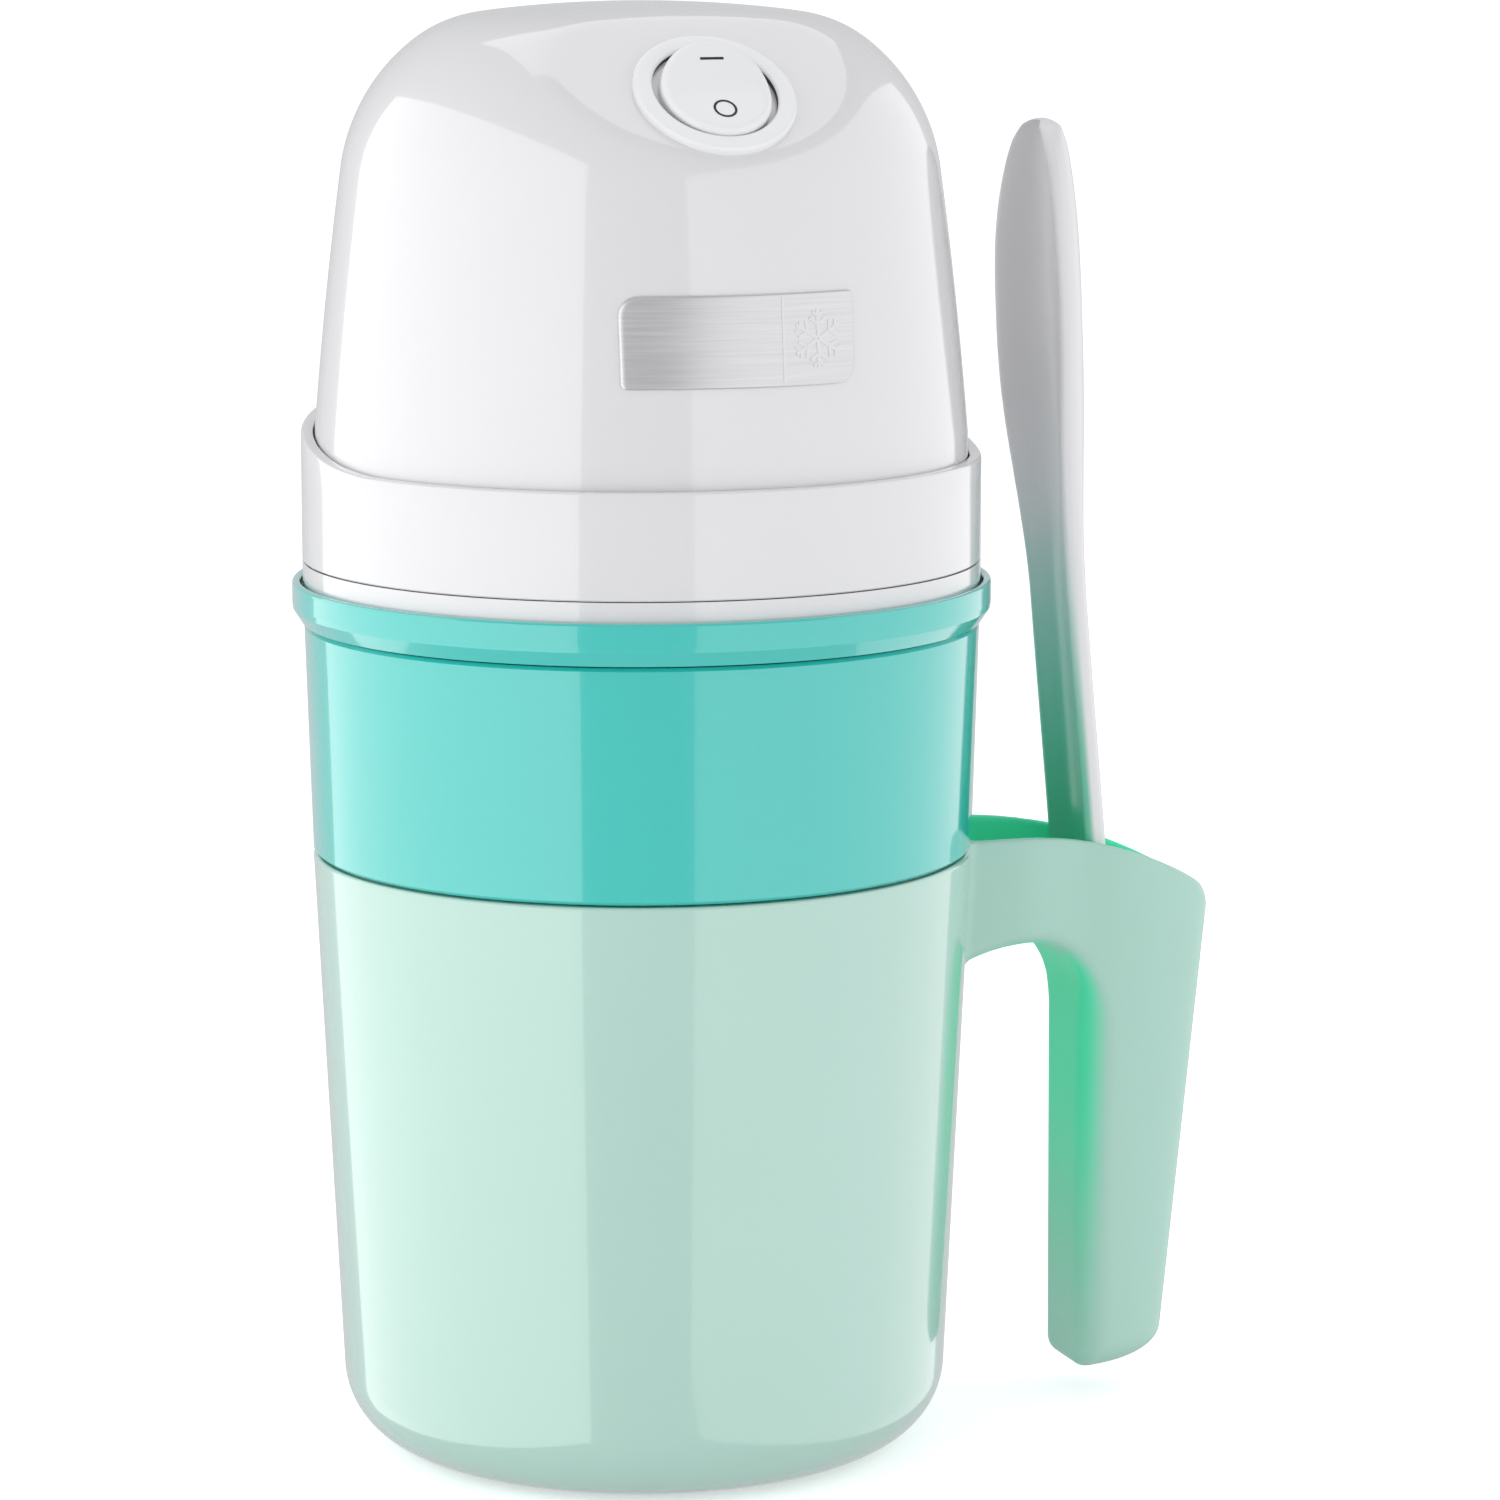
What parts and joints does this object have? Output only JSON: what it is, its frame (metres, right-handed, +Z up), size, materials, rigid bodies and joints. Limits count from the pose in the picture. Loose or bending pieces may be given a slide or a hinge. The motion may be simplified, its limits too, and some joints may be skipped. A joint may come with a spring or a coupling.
{
  "type": "ice cream maker",
  "caption": "Pint-size ice cream maker: insulated cup with open handle and stored spoon, freezer bowl, lid with paddle, and a domed motor unit with a round rocker switch.",
  "frame": {"origin": "centre of the base, on the surface it stands on, on the cup's axis", "axes": "+Z up along the cup's axis, +X towards the handle, -Y towards the front with the plaque and the switch"},
  "size_m": [0.173, 0.1248, 0.2598],
  "materials": {
    "mint_plastic": "glossy moulded mint plastic",
    "teal_plastic": "glossy moulded teal plastic",
    "white_plastic": "glossy moulded white plastic",
    "switch_plastic": "satin white switch plastic",
    "paddle_plastic": "satin food-safe plastic",
    "brushed_plate": "brushed silver plate",
    "aluminium": "satin drawn aluminium",
    "gel": "translucent freezing gel",
    "rubber": "matt black rubber",
    "silicone": "translucent white silicone",
    "grey_plastic": "moulded grey gearbox plastic",
    "gear_plastic": "natural acetal",
    "black_plastic": "moulded black plastic",
    "steel": "zinc-plated steel",
    "bronze": "sintered bronze",
    "brass": "machined brass",
    "copper": "enamelled copper wire",
    "board": "green solder mask",
    "wire": "insulated lead"
  },
  "bodies": {
    "cup": {"outer_cup": "mint_plastic", "base_pad": "rubber"},
    "spoon": {"spoon": "white_plastic"},
    "freezer_bowl": {"bowl_shell": "teal_plastic", "inner_vessel": "aluminium", "coolant_gel": "gel", "rim_ring": "teal_plastic", "rim_seal": "rubber"},
    "lid": {"lid": "teal_plastic", "lid_bush": "paddle_plastic", "lid_gasket": "silicone"},
    "paddle": {"paddle": "paddle_plastic"},
    "motor_unit": {"motor_base": "white_plastic", "skirt_band": "white_plastic", "dome_cover": "white_plastic", "badge_plate": "brushed_plate", "cord_gland": "rubber", "gearbox_lower": "grey_plastic", "gearbox_upper": "grey_plastic", "output_bush_lower": "bronze", "output_bush_upper": "bronze", "output_seal": "rubber", "idler_pin": "steel", "motor_can": "steel", "motor_magnets": "black_plastic", "motor_end_cap": "black_plastic", "motor_brushes": "black_plastic", "motor_bush_front": "bronze", "motor_bush_rear": "bronze", "power_board": "board", "board_capacitor": "black_plastic", "board_diodes": "black_plastic", "board_connectors": "switch_plastic", "thermal_fuse": "wire", "switch_housing": "switch_plastic", "switch_terminals": "brass", "lead_wires": "wire", "housing_screws": "steel", "gearbox_screws": "steel", "motor_screws": "steel"},
    "output_drive": {"output_coupling": "white_plastic", "output_gear": "gear_plastic", "output_clip": "steel"},
    "idler": {"idler_gear": "gear_plastic"},
    "rotor": {"rotor_core": "steel", "rotor_windings": "copper", "commutator": "copper", "rotor_shaft": "steel", "motor_pinion": "brass"},
    "rocker": {"switch_rocker": "switch_plastic"}
  },
  "joints": [
    {"name": "spoon_slide", "type": "slide", "parent": "cup", "child": "spoon", "axis": [0, 0, 1], "range_m": [0, 0.11]},
    {"name": "bowl_lift", "type": "slide", "parent": "cup", "child": "freezer_bowl", "axis": [0, 0, 1], "range_m": [0, 0.12]},
    {"name": "lid_lift", "type": "slide", "parent": "freezer_bowl", "child": "lid", "axis": [0, 0, 1], "range_m": [0, 0.14]},
    {"name": "motor_lift", "type": "slide", "parent": "lid", "child": "motor_unit", "axis": [0, 0, 1], "range_m": [0, 0.06]},
    {"name": "motor_spin", "type": "hinge", "parent": "motor_unit", "child": "rotor", "pos_m": [0, 0.02, 0.2], "axis": [0, 0, 1], "continuous": true},
    {"name": "idler_spin", "type": "hinge", "parent": "motor_unit", "child": "idler", "pos_m": [0.02392, 0.0181, 0.175], "axis": [0, 0, 1], "continuous": true},
    {"name": "output_spin", "type": "hinge", "parent": "motor_unit", "child": "output_drive", "pos_m": [0, 0, 0.17], "axis": [0, 0, 1], "continuous": true},
    {"name": "paddle_spin", "type": "hinge", "parent": "lid", "child": "paddle", "pos_m": [0, 0, 0.15], "axis": [0, 0, 1], "continuous": true},
    {"name": "switch_rock", "type": "hinge", "parent": "motor_unit", "child": "rocker", "pos_m": [0, -0.03873, 0.24299], "axis": [-1, 0, 0], "range_deg": [0, 16]}
  ],
  "couplings": [
    {"joint": "idler_spin", "follows": "motor_spin", "ratio": -0.25},
    {"joint": "output_spin", "follows": "motor_spin", "ratio": 0.0625},
    {"joint": "paddle_spin", "follows": "motor_spin", "ratio": 0.0625}
  ]
}
